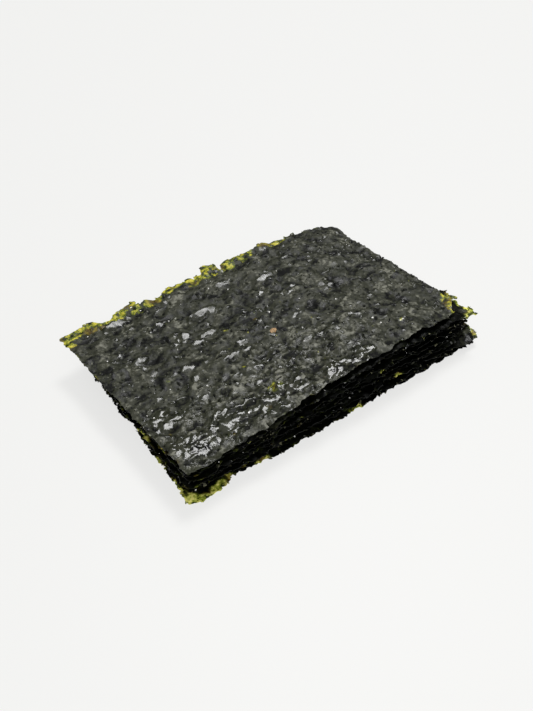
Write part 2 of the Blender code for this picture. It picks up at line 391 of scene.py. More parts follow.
# Smooth, shiny blisters of the top sheet: place in mm, half length, half width.
BLISTERS = (
    (-32.8, 24.3, 3.2, 1.2), (-13.0, 13.3, 4.0, 1.3), (-21.5, 9.1, 1.2, 1.6), (-20.0, 4.8, 2.0, 0.9),
    (-16.6, 6.2, 2.6, 1.0), (-34.5, 8.4, 2.2, 1.2), (-11.9, -2.4, 1.5, 1.1), (-16.5, -4.9, 2.2, 0.8),
    (-12.2, -5.3, 1.3, 0.7), (-27.4, -1.0, 1.9, 1.0), (-27.5, -5.2, 1.0, 1.0),
    (6.8, 13.9, 2.6, 1.0), (10.4, 6.1, 1.0, 0.8), (-24.0, 17.0, 1.8, 0.8), (19.0, 1.0, 1.2, 0.8),
    (1.0, -12.0, 2.2, 0.8), (24.0, -9.0, 1.2, 0.8), (-3.0, 19.5, 2.4, 0.8),
)

# How many smaller blisters, a millimetre or two long, lie anywhere on it.
SMALL_BLISTERS = 300

# Pits and gashes of the top sheet: place in mm, half length, half width.
PITS = (
    (10.2, -26.4, 1.6, 0.9), (-21.6, -20.2, 4.2, 0.5), (-37.5, -21.6, 3.6, 0.45),
    (4.8, 7.2, 1.6, 0.5), (-40.2, -1.9, 1.8, 0.5), (-34.0, -9.4, 2.0, 0.45),
    (12.7, 12.5, 2.6, 1.2), (33.8, 10.0, 1.5, 0.7), (3.1, -0.2, 1.6, 0.7), (-23.6, -0.8, 1.7, 0.6),
    (-11.6, -14.0, 0.8, 0.6), (-3.4, -21.4, 2.2, 0.8), (-19.2, -3.0, 1.0, 0.5),
    (-6.0, -13.4, 1.7, 0.8), (31.6, -1.2, 1.6, 0.7), (-41.4, -2.8, 2.0, 0.5),
    (-16.9, -20.4, 0.9, 0.6), (-23.6, -16.2, 1.4, 0.5), (22.0, 11.0, 1.3, 0.6),
    (25.0, -14.0, 1.3, 0.6), (14.0, -8.0, 1.1, 0.5), (-30.0, 14.0, 1.2, 0.5),
    (-35.5, -17.3, 2.6, 0.6), (-31.5, -13.0, 1.2, 0.4), (15.5, -25.6, 1.2, 0.9),
    (-8.0, 17.0, 1.6, 0.5), (5.0, 22.0, 1.8, 0.6),
)

# The slope along x, and the one along y, that mirrors the light above the stack to the camera:
# at the sheet's middle, and what each mm along x and along y adds to it.
MIRROR_SLOPES = ((0.056, 0.0030, -0.0008), (0.229, -0.0007, 0.0027))

# A sheet's thickness, the least that its relief leaves of it, and the gap to the sheet below
# where they would touch, in mm.
THICKNESS = 0.24
LEAST_THICKNESS = 0.08
GAP = 0.03


def puckers(x, y, length, width, seed):
    """Soft pillows with sharp creases between them, from 0 in a crease to about 1.

    It is the size of stretched noise, whatever its sign, at places bent by slower noise.
    """
    bend_x = x + 0.5 * length * noise(x, y, 2.0 * length, seed)
    bend_y = y + 0.5 * width * noise(x, y, 2.3 * width, seed + 1)
    return np.abs(noise(bend_x / length, bend_y / width, 1.0, seed + 2))


def oval(gx, gy, x, y, length, width):
    """A soft oval: the bell curve of the distance from its middle, in its own half sizes."""
    return np.exp(-((gx - x) / length) ** 2 - ((gy - y) / width) ** 2)


def fringe_strength(number, gx, gy):
    """0 to 1: how much of a sheet's edge is thin green fringe, from its spots and its far edge."""
    strength = np.full(gx.shape, 0.06)
    for sheet, x, y, reach in GREEN_SPOTS:
        if sheet == number:
            strength = np.maximum(strength, 1.1 * oval(gx, gy, x, y, reach, reach))
    if number == TOP:
        along_back = smooth((gy - 22.0) / 2.0) * (0.2 + 0.8 * smooth((14.0 - gx) / 8.0))
        uneven = 1.0 + 0.5 * noise(gx, gy, 6.0, SEED + 3)
        strength = np.maximum(strength, along_back * uneven)
        strength = np.maximum(strength, 1.1 * oval(gx, gy, 18.5, 26.5, 4.5, 4.0))
    return np.clip(strength, 0.0, 1.0)


def small_blisters():
    """The small blisters, drawn at random, in rows like those of BLISTERS."""
    draw = np.random.default_rng(SEED + 30)
    count = SMALL_BLISTERS
    return np.column_stack((
        draw.uniform(-42.0, 42.0, count), draw.uniform(-26.0, 26.0, count),
        0.42 + 0.6 * draw.random(count) ** 2, 0.4 + 0.2 * draw.random(count)))


def crumple_plates():
    """The shiny plates between a crumpled place's creases, more of them in a larger place.

    Each is a row: place, half length, half width, turn, and how far it leans off along x and y.
    """
    draw = np.random.default_rng(SEED + 33)
    rows = []
    for x, y, length, width, strength in CRUMPLES:
        count = int(2.6 * strength * length * width)
        rows.append(np.column_stack((
            x + 0.46 * length * draw.normal(size=count),
            y + 0.46 * width * draw.normal(size=count),
            draw.uniform(0.9, 2.6, count), draw.uniform(0.5, 0.95, count),
            draw.normal(0.08, 0.3, count),
            draw.normal(0.0, 0.03, count), draw.normal(0.0, 0.036, count))))
    return np.concatenate(rows)


def bent_places(gx, gy):
    """The grid's places moved by noise, at which an oval has a ragged rim."""
    bent_x = gx + 0.7 * noise(gx, gy, 1.8, SEED + 25)
    bent_y = gy + 0.6 * noise(gx, gy, 1.6, SEED + 22)
    return bent_x, bent_y


def leaning_ovals(gx, gy, low, step):
    """The top sheet's blisters, ridges and plates: their height in mm, and where they lie.

    An oval is 1 - along^2 - across^2, from its middle out in its half sizes, made steeper and
    cut off at 0 and 1. It carries a plane that starts at its near rim, less a crown, a share of
    along^2 and across^2. The plane leans, together with the sheet's own slope, as mirrors the
    light above the stack. The highest of all ovals counts. Ridges and plates have sharper rims
    and flatter crowns than blisters. The three arrays are the height, where blisters are, and
    where ridges and plates are, the last two from 0 to 1.
    """
    slope_y, slope_x = [np.clip(slope, -0.15, 0.15) for slope in np.gradient(low, step)]
    lean, steep = [middle + per_x * gx + per_y * gy for middle, per_x, per_y in MIRROR_SLOPES]
    lean = lean - slope_x
    steep = steep - slope_y
    bent_x, bent_y = bent_places(gx, gy)
    blisters = np.concatenate((BLISTERS, small_blisters()))
    ovals = np.concatenate((
        np.pad(blisters, ((0, 0), (0, 3))), np.pad(RIDGES, ((0, 0), (0, 2))), crumple_plates()))
    dome = np.zeros_like(gx)
    blister = np.zeros_like(gx)
    plate = np.zeros_like(gx)
    for at, (x, y, length, width, turn, off_x, off_y) in enumerate(ovals):
        soft = at < len(blisters)
        cos = math.cos(turn)
        sin = math.sin(turn)
        along = ((bent_x - x) * cos + (bent_y - y) * sin) / (1.3 * length)
        across = ((bent_y - y) * cos - (bent_x - x) * sin) / (1.2 * width)
        inside = smooth((2.0 if soft else 2.6) * (1.0 - along * along - across * across))
        reach_x = math.hypot(length * cos, width * sin)
        reach_y = math.hypot(width * cos, length * sin)
        plane = (steep + off_y) * (gy - y + 1.1 * reach_y) + (lean + off_x) * (gx - x)
        plane = plane + np.abs(lean) * reach_x
        crown = (0.08 if soft else 0.06) * (width * across * across + length * along * along)
        dome = np.maximum(dome, 0.95 * (plane - crown) * inside)
        if soft:
            blister = np.maximum(blister, inside)
        else:
            plate = np.maximum(plate, inside)
    dome = dome + plate * 0.028 * noise(gx, gy, 1.1, SEED + 34)
    dome = dome + blister * (1.0 - plate) * 0.05 * noise(gx, gy, 1.4, SEED + 35)
    return dome, blister, plate


def pitted(gx, gy, oiled, blister, plate):
    """Where the top sheet is pitted, from 0 to 1.

    The named pits and gashes are ovals, uneven by noise. Hollows lie in the troughs of wide
    noise, and specks in those of fine noise, more of them where it is oiled. Both keep off
    blisters and plates. In a crumpled place all that isn't a plate is a crease. The same mask
    darkens the sheet's colour: painted shade in its pits, hollows and creases.
    """
    bent_y = bent_places(gx, gy)[1]
    ragged = 1.0 + 0.7 * noise(gx, gy, 1.0, SEED + 26)
    pit_and_shade = np.zeros_like(gx)
    for x, y, length, width in PITS:
        pit_and_shade = np.maximum(pit_and_shade, oval(gx, bent_y, x, y, length, width) * ragged)
    hollow = smooth((-noise(0.6 * gx, gy, 2.0, SEED + 28) - 0.45) / 0.22)
    speckled = smooth((0.12 * oiled - noise(gx, gy, 0.9, SEED + 31) - 0.55) / 0.15)
    small = np.maximum(0.5 * hollow, 0.8 * speckled) * (1.0 - np.maximum(blister, plate))
    pit_and_shade = np.maximum(0.88 * smooth(3.0 * pit_and_shade - 0.8), small)

    uneven = 0.8 + 0.5 * noise(gx, gy, 2.6, SEED + 21)
    crumpled = np.zeros_like(gx)
    for x, y, length, width, strength in CRUMPLES:
        crumpled = np.maximum(crumpled, strength * oval(gx, gy, x, y, length, width))
    crumpled = smooth(3.0 * crumpled * uneven - 0.35)
    return np.maximum(pit_and_shade, 0.9 * crumpled * (1.0 - plate))


def top_relief(gx, gy, low, step):
    """The top sheet's relief in mm, and its shine, its smoothness, its pits and its oiled grain.

    To the blisters, ridges and plates come soft pillows and, between them all, sharp veins.
    Pits go 0.55 mm down. The front left of the sheet is oiled and has a satin shine. Blisters
    shine in spots, and plates most. What is oiled but not smooth has a coarser grain, and its
    colour is painted paler: painted sheen.
    """
    dome, blister, plate = leaning_ovals(gx, gy, low, step)
    veins = smooth(4.0 - 5.0 * puckers(gx, gy, 1.9, 1.3, SEED + 36))
    veins = veins * (1.0 - np.maximum(blister, plate))
    pillow = smooth((puckers(gx, gy, 5.0, 1.6, SEED + 23) - 0.62) / 0.3)
    oiled = smooth((-4.0 - gy) / 12.0) * smooth((26.0 - gx) / 30.0)
    pit_and_shade = pitted(gx, gy, oiled, blister, plate)
    height = dome + 0.10 * pillow + 0.07 * veins - 0.55 * pit_and_shade

    satin = oiled * (0.56 + 0.4 * noise(gx, gy, 2.4, SEED + 38))
    mottled = 1.0 + 0.45 * noise(gx, gy, 0.8, SEED + 37)
    mottled = mottled * (0.64 - 0.2 * smooth((gx - 5.0) / 20.0))
    shine = np.maximum(satin + 0.3 * pillow, blister * mottled)
    shine = np.maximum(shine, plate * (0.94 + 0.4 * noise(gx, gy, 1.1, SEED + 39)))
    calm = np.maximum(np.maximum(0.75 * plate, 0.9 * blister), 0.4 * pillow) * (1.0 - pit_and_shade)
    return height, shine * (1.0 - pit_and_shade), calm, pit_and_shade, oiled * (1.0 - calm)


def ragged_edge(number, gx, gy, seed):
    """How far noise moves a sheet's edge outwards, in mm, most at the right front corner."""
    top = number == TOP
    corner = smooth((gx - 38.0) / 4.0) * smooth((-13.0 - gy) / 5.0)
    rough = (1.1 if top else 1.5) * (1.0 + 1.2 * corner)
    coarse = layered(gx, gy, 2.8, seed + 1, 2)
    ragged = rough * (0.22 * coarse + 0.26 * noise(gx, gy, 0.9, seed + 2))
    if not top:
        return ragged + 0.6 * noise(gx, gy, 7.0, seed + 9)
    for x, y, length, width, out in BULGES:
        ragged = ragged + out * oval(gx, gy, x, y, length, width)
    return ragged


def outline(number, gx, gy, inset, ragged, green, seed):
    """How far a point lies inside a sheet's ragged edge, in mm, and the same with its holes.

    Thin fringe is torn in clumps, larger ones on the top sheet. Holes are where noise passes a
    limit, which is lower in the fringe.
    """
    if number == TOP:
        clumps = 2.3 * layered(gx, gy, 5.0, seed + 3, 2) + 1.6 * oval(gx, gy, -43.0, 27.0, 2.5, 2.5)
    else:
        clumps = 0.7 * noise(gx, gy, 2.4, seed + 3)
    torn = green * (clumps + 0.5 * layered(gx, gy, 1.3, seed + 10, 2))
    edge = inset + ragged + torn
    limit = 1.15 - 0.55 * green * smooth(1.0 - inset / 2.5)
    return edge, np.minimum(edge, 1.5 * (limit - layered(gx, gy, 1.5, seed + 4, 2)))


def single_layer(number, gx, gy, inset, ragged, green, edge, shaded, seed):
    """Where a sheet is only one layer of shreds, and so green, from 0 to 1.

    That is its fringe, crossed by darker shreds. It is the very rim here and there, most at the
    left end and hardly in the shade, and the flecks of the top sheet.
    """
    top = number == TOP
    wide = 3.3 if top or number == 1 else 1.7
    width = wide * green * (1.0 + 0.75 * noise(gx, gy, 2.4, seed + 5))
    crossed = 0.2 + 0.8 * smooth((noise(gx, gy, 1.1, seed + 8) + 0.45) / 0.4)
    fringe = smooth((width - inset - ragged) / 0.7) * smooth(4.0 * green - 0.4) * crossed

    left = smooth((-39.0 - gx) / 2.0)
    often = smooth((noise(gx, gy, 2.0, seed + 6) - 0.3 + 0.3 * left) / 0.3)
    strength = ((0.4 if top else 0.25) + 0.1 * left) * (1.0 - 0.85 * shaded)
    rim = strength * smooth(1.0 - edge / (0.3 + 0.15 * left)) * often
    thin = np.maximum(fringe, rim)
    if top:
        patchy = 0.9 + 0.7 * noise(gx, gy, 1.1, seed + 20)
        for x, y, reach in FLECKS:
            fleck = patchy * oval(gx, gy, x, y, 1.3 * reach, reach)
            thin = np.maximum(thin, 0.8 * smooth(1.8 * fleck - 0.6))
    return thin


def open_places(number, gx, gy):
    """Where a lower sheet lies open to the light and shows the top one's colour, not painted shade,
    from 0 to 1.
    """
    open_to_light = np.zeros_like(gx)
    for sheet, x, y, reach in OPEN_SPOTS:
        if sheet == number:
            open_to_light = np.maximum(open_to_light, smooth(2.0 * oval(gx, gy, x, y, reach, reach) - 0.2))
    return open_to_light


def lower_waves(number, gx, gy, inset, seed):
    """How a lower sheet waves, in mm: it curls up and down near its edge, and waves inside.

    The waves inside close the straight gaps between sheets, and are half as high in the sheet
    right under the top one.
    """
    curl = smooth(1.0 - inset / 6.0)
    curled = 0.6 * noise(gx, gy, 6.0, seed + 15) + 0.45 * noise(gx, gy, 2.4, seed + 18)
    curled = curled + 0.2 * noise(gx, gy, 1.1, seed + 23)
    inner = smooth((inset - 2.5) / 4.0) * (0.5 if number == TOP - 1 else 1.1)
    return curl * curled + inner * noise(gx, gy, 5.5, seed + 26)


def shape_of(number, step, relief, floor):
    """One sheet as arrays over a grid: where it is, its two faces' heights and its patterns.

    The middle surface follows the frame's sheet, with swells and puckers, and the top sheet's
    relief or a lower sheet's waves. The lowest sheet's middle lies flat, and no sheet goes below
    the face of the one under it. Shreds of two sizes stand on the upper face and give it its
    tone. The lower sheets are darker at the right of their front, which lies in the shade. Each
    pattern has a seed of its own, the sheet's seed plus a number.
    """
    cad = CadSheet(SHEETS[number - 1])
    top = number == TOP
    x = np.arange(cad.low[0] - MARGIN, cad.high[0] + MARGIN, step)
    y = np.arange(cad.low[1] - MARGIN, cad.high[1] + MARGIN, step)
    gx, gy = np.meshgrid(x, y)
    seed = SEED + 100 * number
    inset = cad.inset(gx, gy)
    low = cad.underside(x, y, step)
    green = fringe_strength(number, gx, gy)
    ragged = ragged_edge(number, gx, gy, seed)
    edge, field = outline(number, gx, gy, inset, ragged, green, seed)
    shaded = (0.0 if top else 1.0) * smooth((gx + 6.0) / 14.0) * smooth((-18.0 - gy) / 5.0)

    body, tone = shreds(gx, gy, 1.9, 0.45, seed + 13)
    fine, fine_tone = shreds(gx, gy, 0.85, 0.6, seed + 14)
    swells = noise(gx, gy, 4.2, seed + 25)
    # Where the top sheet's waves follow the same swells, their crests are paler and their troughs
    # darker: painted light and shade. On the lower sheets it is uneven tone. Their shaded front
    # right is darker: painted shade.
    tone = tone + 0.3 * swells + 0.22 * noise(gx, gy, 2.0, seed + 27) - 0.25 * shaded
    tone = tone + 0.3 * noise(gx, gy, 6.5, seed + 28) * smooth((gx + 4.0) / 20.0)
    calm = smooth(0.5 + 0.8 * noise(gx, gy, 6.0, seed + 11))
    pillows = (0.02 + 0.04 * calm) * (puckers(gx, gy, 2.2, 1.3, seed + 16) - 0.3)
    swell = 0.14 + 0.28 * smooth((gx - 5.0) / 25.0)
    middle = relief * (swell * layered(gx, gy, 7.0, seed + 12, 2) + pillows)
    if top:
        # The last mask is where the top sheet is oiled with a coarser grain, and it paints the
        # colour paler there: painted sheen.
        folds, shine, still, pit_and_shade, grain_and_sheen = top_relief(gx, gy, low, step)
        waves = 0.28 * noise(gx, gy, 2.2, seed + 24) + 0.46 * swells
        middle = (middle + relief * waves) * (1.0 - 0.9 * still) + relief * folds
        # Pits, hollows and creases darken the colour: painted shade.
        tone = (0.2 * still + tone * (1.0 - 0.6 * still) + 0.22 * grain_and_sheen) * (1.0 - pit_and_shade)
        fine_tone = (0.2 * still + fine_tone * (1.0 - 0.6 * still)) * (1.0 - pit_and_shade)
    else:
        shine = 0.5 * smooth((noise(gx, gy, 3.0, seed + 17) - 0.1) / 0.6)
        still = shine
        pit_and_shade = 0.0
        grain_and_sheen = 0.0
        middle = middle + lower_waves(number, gx, gy, inset, seed)
    if number == 1:
        outward = np.maximum(np.abs(gx) / 44.0, np.abs(gy) / 28.0)
        middle = np.maximum(middle * smooth((outward - 0.66) / 0.3), 0.0)

    low = low + middle
    if floor is not None:
        low = np.maximum(low, floor(gx, gy) + GAP)
    thick = THICKNESS * (1.0 - 0.4 * smooth(1.0 - edge / 1.5))
    lumps = 0.13 * noise(gx, gy, 1.9, seed + 21) + 0.05 * noise(gx, gy, 1.05, seed + 22)
    grain = 0.06 * (body - 0.5) + 0.06 * (fine - 0.5) + lumps * (0.5 + 0.7 * calm)
    high = low + thick + relief * grain * smooth(0.3 + inset) * (1.0 - 0.95 * still)
    high = np.maximum(high, low + LEAST_THICKNESS)
    return {
        "x": x, "y": y, "gx": gx, "gy": gy, "inset": inset, "field": field,
        "low": low, "high": high, "tone": 0.65 * tone + 0.35 * fine_tone,
        "thin": single_layer(number, gx, gy, inset, ragged, green, edge, shaded, seed),
        "shine": shine - pit_and_shade, "open_to_light": open_places(number, gx, gy), "still": still - grain_and_sheen,
    }


def on_grid(shape, label):
    """A function that reads one of a shape's arrays anywhere, straight between grid points."""
    x = shape["x"]
    y = shape["y"]
    values = shape[label]

    def read(at_x, at_y):
        u = np.clip((at_x - x[0]) / (x[1] - x[0]), 0.0, len(x) - 1.001)
        v = np.clip((at_y - y[0]) / (y[1] - y[0]), 0.0, len(y) - 1.001)
        i = u.astype(int)
        j = v.astype(int)
        du = u - i
        dv = v - j
        near = values[j, i] * (1.0 - du) + values[j, i + 1] * du
        far = values[j + 1, i] * (1.0 - du) + values[j + 1, i + 1] * du
        return near * (1.0 - dv) + far * dv

    return read


# The patterns that the laver's material reads from the mesh: where it is one layer thin, how
# light its shreds are, with painted shade and painted sheen in it, how much it shines, where a
# lower sheet lies open to the light and loses its painted shade, and how smooth it is.
PATTERNS = ("thin", "tone", "shine", "open_to_light", "still")


def sheet_piece(number, step, relief, floor, material):
    """Builds one sheet of nori in the place of its CAD node, and returns its shape's arrays."""
    shape = shape_of(number, step, relief, floor)
    kept = joined_to_middle(shape["field"] > 0.0)
    field = np.where(kept, shape["field"], np.minimum(shape["field"], -0.02))
    labels = ("gx", "gy", "high", "low", *PATTERNS)
    values = np.column_stack([shape[label].ravel() for label in labels])
    points, faces = cut_grid(field, values)
    attributes = {label: points[:, 4 + at] for at, label in enumerate(PATTERNS)}
    name = f"nori_{number:02d}"
    mesh = closed_sheet(name, points[:, :3], faces, points[:, 3], attributes)
    mesh.materials.append(material)
    piece = place(name, mesh)
    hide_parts(SHEETS[number - 1])
    return shape


def place(name, mesh):
    """Puts a mesh in the scene as a piece that rides on the stack."""
    piece = bpy.data.objects.new(name, mesh)
    bpy.context.scene.collection.objects.link(piece)
    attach(piece, "root")
    return piece


# -------------------------------------------------------------------------------- materials

def node(tree, kind, settings=None, **links):
    """Adds a node. Settings fill its properties, or its inputs by name or number. A link's key is
    an input's name with _ for a space, or _ and its number, and its value the output it takes."""
    made = tree.nodes.new(kind)
    for key, value in (settings or {}).items():
        if isinstance(key, str) and hasattr(made, key):
            setattr(made, key, value)
        else:
            made.inputs[key].default_value = value
    for key, source in links.items():
        label = int(key[1:]) if key[0] == "_" else key.replace("_", " ")
        tree.links.new(source, made.inputs[label])
    return made


def blank_material(name):
    """A material without nodes, and its node tree."""
    material = bpy.data.materials.new(name)
    material.use_nodes = True
    material.node_tree.nodes.clear()
    return material, material.node_tree


def ramp(tree, source, stops):
    """A colour ramp with the given (place, colour) stops."""
    made = node(tree, "ShaderNodeValToRGB", {}, Fac=source)
    elements = made.color_ramp.elements
    while len(elements) < len(stops):
        elements.new(0.5)
    for element, (at, colour) in zip(elements, stops):
        element.position = at
        element.color = (*colour, 1.0)
    return made


# The hex colours that one kind of sheet shows: its shreds from the darkest to the palest and the
# specks on them, then its thin fringe from olive to lime, its own green made paler by painted
# light that comes through it, and where that is toasted brown.
Look = namedtuple("Look", "deep body pale speck olive leaf lime brown")
TOP_LOOK = Look(
    "#030403", "#27291e", "#36372c", "#717166", "#1c2606", "#626d16", "#bdb440", "#54401a")
# The shreds that stand out of the sheets' edges are painted darker than the top sheet: painted shade
# of the stack's walls, where they stand.
PAINTED_SHADE_SHRED_LOOK = Look(
    "#020302", "#0b0d08", "#26281b", "#6a6850", "#161c06", "#4c5812", "#9a9636", "#3e2f12")
# The lower sheets are the same laver as the top one, but their shreds are painted near black:
# painted shade, where the stack's walls lie in shade. Their fringe is painted paler than the top
# one's: painted light, that lifts it out of the stack's shade.
PAINTED_SHADE_UNDER_LOOK = Look(
    "#010201", "#030402", "#060803", "#1e220e", "#4c5a18", "#a4ae40", "#f0ea84", "#7a602c")

# Noise in the laver, as wide as this in mm, with this much detail and roughness: the shreds'
# uneven tone, the fringe's blotches, its brown patches, and a grain. The laver's own fibres are
# too fine to show, so the grain that stands for them is drawn coarser.
LAVER_NOISES = ((0.8, 3.0, 0.5), (1.5, 4.0, 0.7), (4.0, 2.0, 0.5), (0.4, 2.0, 0.5))
# How deep the grain is, in mm.
GRAIN_DEPTH = 0.055


def roasted_laver(name, look, unshaded_look, specular, matt, glossy):
    """Roasted laver: shredded seaweed pressed to a sheet, dried and roasted with a little oil.

    To the eye it is near black with a green cast, shred by shred lighter or darker. It has two
    looks:
    the first, which on the lower sheets and the edge shreds is painted near black as painted shade,
    and the second, its own colour, where it lies open to the light. Where only one layer of shreds
    is left it is olive and yellow green, its own green made paler by painted light that comes
    through it, brown where it is toasted most. Oil makes wrinkles and blisters shine, and leaves
    the rest satin. Pits are rough. A fine grain lies on all but the smooth blisters.
    """
    material, tree = blank_material(name)
    spot = node(tree, "ShaderNodeTexCoord").outputs["Object"]
    thin, tone, shine, open_to_light, still = [
        node(tree, "ShaderNodeAttribute", {"attribute_name": label}).outputs["Fac"]
        for label in PATTERNS]
    fibre, blotch, cloud, grain = [
        node(tree, "ShaderNodeTexNoise", {
            "Scale": 1.0 / (width * MM), "Detail": detail, "Roughness": roughness},
            Vector=spot).outputs["Fac"]
        for width, detail, roughness in LAVER_NOISES]

    most = node(tree, "ShaderNodeMath", {"operation": "MULTIPLY", 1: 0.55}, _0=fibre).outputs[0]
    mixed = node(tree, "ShaderNodeMath", {"operation": "MULTIPLY_ADD", 1: 0.45},
                 _0=tone, _2=most).outputs[0]
    # The first look, painted near black as painted shade on the lower sheets and the edge shreds,
    # gives way to the second, their own colour, where they lie open to the light.
    shaded, unshaded = [ramp(tree, mixed, [
        (0.34, linear(each.deep)), (0.47, linear(each.body)), (0.62, linear(each.pale)),
        (0.77, linear(each.speck))]).outputs[0] for each in (look, unshaded_look)]
    dark = node(tree, "ShaderNodeMix", {"data_type": "RGBA"},
                _0=open_to_light, _6=shaded, _7=unshaded).outputs[2]

    outward = node(tree, "ShaderNodeMath", {"operation": "MULTIPLY_ADD", 1: 0.16, 2: -0.10},
                   _0=thin).outputs[0]
    single = node(tree, "ShaderNodeMath", {"operation": "ADD"}, _0=blotch, _1=outward).outputs[0]
    leaf = ramp(tree, single, [
        (0.43, linear(look.olive)), (0.52, linear(look.leaf)),
        (0.64, linear(look.lime))]).outputs[0]
    browned = node(tree, "ShaderNodeMapRange", {"From Min": 0.52, "From Max": 0.64, "To Max": 0.75},
                   Value=cloud).outputs["Result"]
    leaf = node(tree, "ShaderNodeMix", {"data_type": "RGBA", 7: (*linear(look.brown), 1.0)},
                _0=browned, _6=leaf).outputs[2]
    colour = node(tree, "ShaderNodeMix", {"data_type": "RGBA"}, _0=thin, _6=dark, _7=leaf).outputs[2]

    gloss = node(tree, "ShaderNodeMath", {"operation": "MULTIPLY_ADD", 1: 0.5, 2: 0.5},
                 _0=shine).outputs[0]
    uneven = node(tree, "ShaderNodeMath", {"operation": "MULTIPLY_ADD", 1: 0.3, 2: -0.15},
                  _0=tone).outputs[0]
    oiled = node(tree, "ShaderNodeMath", {"operation": "SUBTRACT"}, _0=gloss, _1=uneven).outputs[0]
    rough = ramp(tree, oiled, [
        (0.1, (0.95,) * 3), (0.5, (matt,) * 3), (1.0, (glossy,) * 3)]).outputs[0]
    smoothed = node(tree, "ShaderNodeMapRange", {
        "From Min": -1.0, "To Min": 2.0, "To Max": 0.08}, Value=still).outputs["Result"]
    fine = node(tree, "ShaderNodeMath", {"operation": "MULTIPLY"}, _0=grain, _1=smoothed).outputs[0]
    bump = node(tree, "ShaderNodeBump", {"Strength": 1.0, "Distance": GRAIN_DEPTH * MM},
                Height=fine).outputs["Normal"]
    shader = node(tree, "ShaderNodeBsdfPrincipled", {"IOR": 1.45, "Specular IOR Level": specular},
                  Base_Color=colour, Roughness=rough, Normal=bump)
    node(tree, "ShaderNodeOutputMaterial", Surface=shader.outputs["BSDF"])
    return material


def salt_grain(name, colour):
    """Table salt: clear crystals that look white, because each edge scatters the light."""
    material, tree = blank_material(name)
    shader = node(tree, "ShaderNodeBsdfPrincipled", {
        "Base Color": (*colour, 1.0), "Roughness": 0.25, "IOR": 1.54,
    })
    node(tree, "ShaderNodeOutputMaterial", Surface=shader.outputs["BSDF"])
    return material


def toasted_crumb(name):
    """A crumb of toasted seaweed stalk: matt, orange brown, mottled at a quarter millimetre."""
    material, tree = blank_material(name)
    spot = node(tree, "ShaderNodeTexCoord").outputs["Object"]
    mottle = node(tree, "ShaderNodeTexNoise", {"Scale": 1.0 / (0.25 * MM)},
                  Vector=spot).outputs["Fac"]
    colour = ramp(tree, mottle, [
        (0.35, linear("#7c5936")), (0.50, linear("#9b7c57")),
        (0.65, linear("#b09b78"))]).outputs[0]
    shader = node(tree, "ShaderNodeBsdfPrincipled", {"Roughness": 0.6, "IOR": 1.45},
                  Base_Color=colour)
    node(tree, "ShaderNodeOutputMaterial", Surface=shader.outputs["BSDF"])
    return material


def pale_ground(name):
    """A plain pale surface, matt, and lit a little from below as a light table is."""
    material, tree = blank_material(name)
    shader = node(tree, "ShaderNodeBsdfPrincipled", {
        "Base Color": (*linear("#5e5e5c"), 1.0), "Roughness": 0.6,
        "Emission Color": (1.0, 1.0, 0.99, 1.0), "Emission Strength": 0.715,
    })
    node(tree, "ShaderNodeOutputMaterial", Surface=shader.outputs["BSDF"])
    return material


# ------------------------------------------------------------------------------------- salt

def crystals(places, sizes, seed):
    """Small crystals: a cube each, its corners shaken and the whole turned at random.

    The turn is the orthogonal part of a random 3 by 3 matrix, negated where it would mirror.
    """
    draw = np.random.default_rng(seed)
    count = len(places)
    cube = np.array([(i, j, k) for i in (-1, 1) for j in (-1, 1) for k in (-1, 1)]) * 0.5
    shaken = cube + draw.uniform(-0.14, 0.14, (count, 8, 3))
    turn = np.linalg.qr(draw.normal(size=(count, 3, 3)))[0]
    turn = turn * np.sign(np.linalg.det(turn))[:, None, None]
    points = np.einsum("nij,nkj->nki", turn, shaken * sizes[:, None, None]) + places[:, None]
    quads = np.array([
        (0, 1, 3, 2), (4, 6, 7, 5), (0, 4, 5, 1), (2, 3, 7, 6), (0, 2, 6, 4), (1, 5, 7, 3)])
    triangles = np.concatenate((quads[:, :3], quads[:, (0, 2, 3)]))
    faces = triangles[None] + 8 * np.arange(count)[:, None, None]
    return points.reshape(-1, 3), faces.reshape(-1, 3)


# --------------------------------------------------------------------------------- settings

class NoriSettings(bpy.types.PropertyGroup):
    """Sizes that a user would change on the sheets and the salt."""

    top_step: FloatProperty(name="Top fineness", description="Grid step of the top sheet, in mm",
                            default=0.32, min=0.3, max=2.0)
    under_step: FloatProperty(name="Lower fineness", description="Grid step of the others, in mm",
                              default=0.42, min=0.4, max=2.0)
    relief: FloatProperty(name="Relief", description="Strength of wrinkles and shreds",
                          default=1.0, min=0.0, max=2.0)
    shred_count: IntProperty(name="Edge shreds", description="Shreds out of each lower edge",
                             default=160, min=0, max=1000)
    chip_count: IntProperty(name="Loose shreds", description="Shreds that lie on the top sheet",
                            default=1500, min=0, max=3000)
    salt_count: IntProperty(name="Salt crystals", description="Crystals on the top sheet",
                            default=45, min=0, max=500)
    edge_salt_count: IntProperty(name="Edge salt", description="Crystals along each lower edge",
                                 default=9, min=0, max=500)
    salt_colour: FloatVectorProperty(name="Salt colour", description="Colour of the salt",
                                     subtype="COLOR", default=linear("#f4f3ee"), min=0.0, max=1.0)


class StudioSettings(bpy.types.PropertyGroup):
    """The light and the camera."""

    sky: FloatProperty(name="Sky", description="Strength of the light from all round",
                       default=1.05, min=0.0, max=5.0)
    key: FloatProperty(name="Key", description="Power of the light behind the stack, in watts",
                       default=16.0, min=0.0, max=100.0, unit="POWER")
    fill: FloatProperty(name="Fill", description="Power of the light in front of it, in watts",
                        default=1.6, min=0.0, max=100.0, unit="POWER")
    lens: FloatProperty(name="Lens", description="Focal length, in mm",
                        default=39.37, min=10.0, max=200.0)


# The sheets' arrays by sheet number, which the later operators read places and heights from.
SHAPES = {}


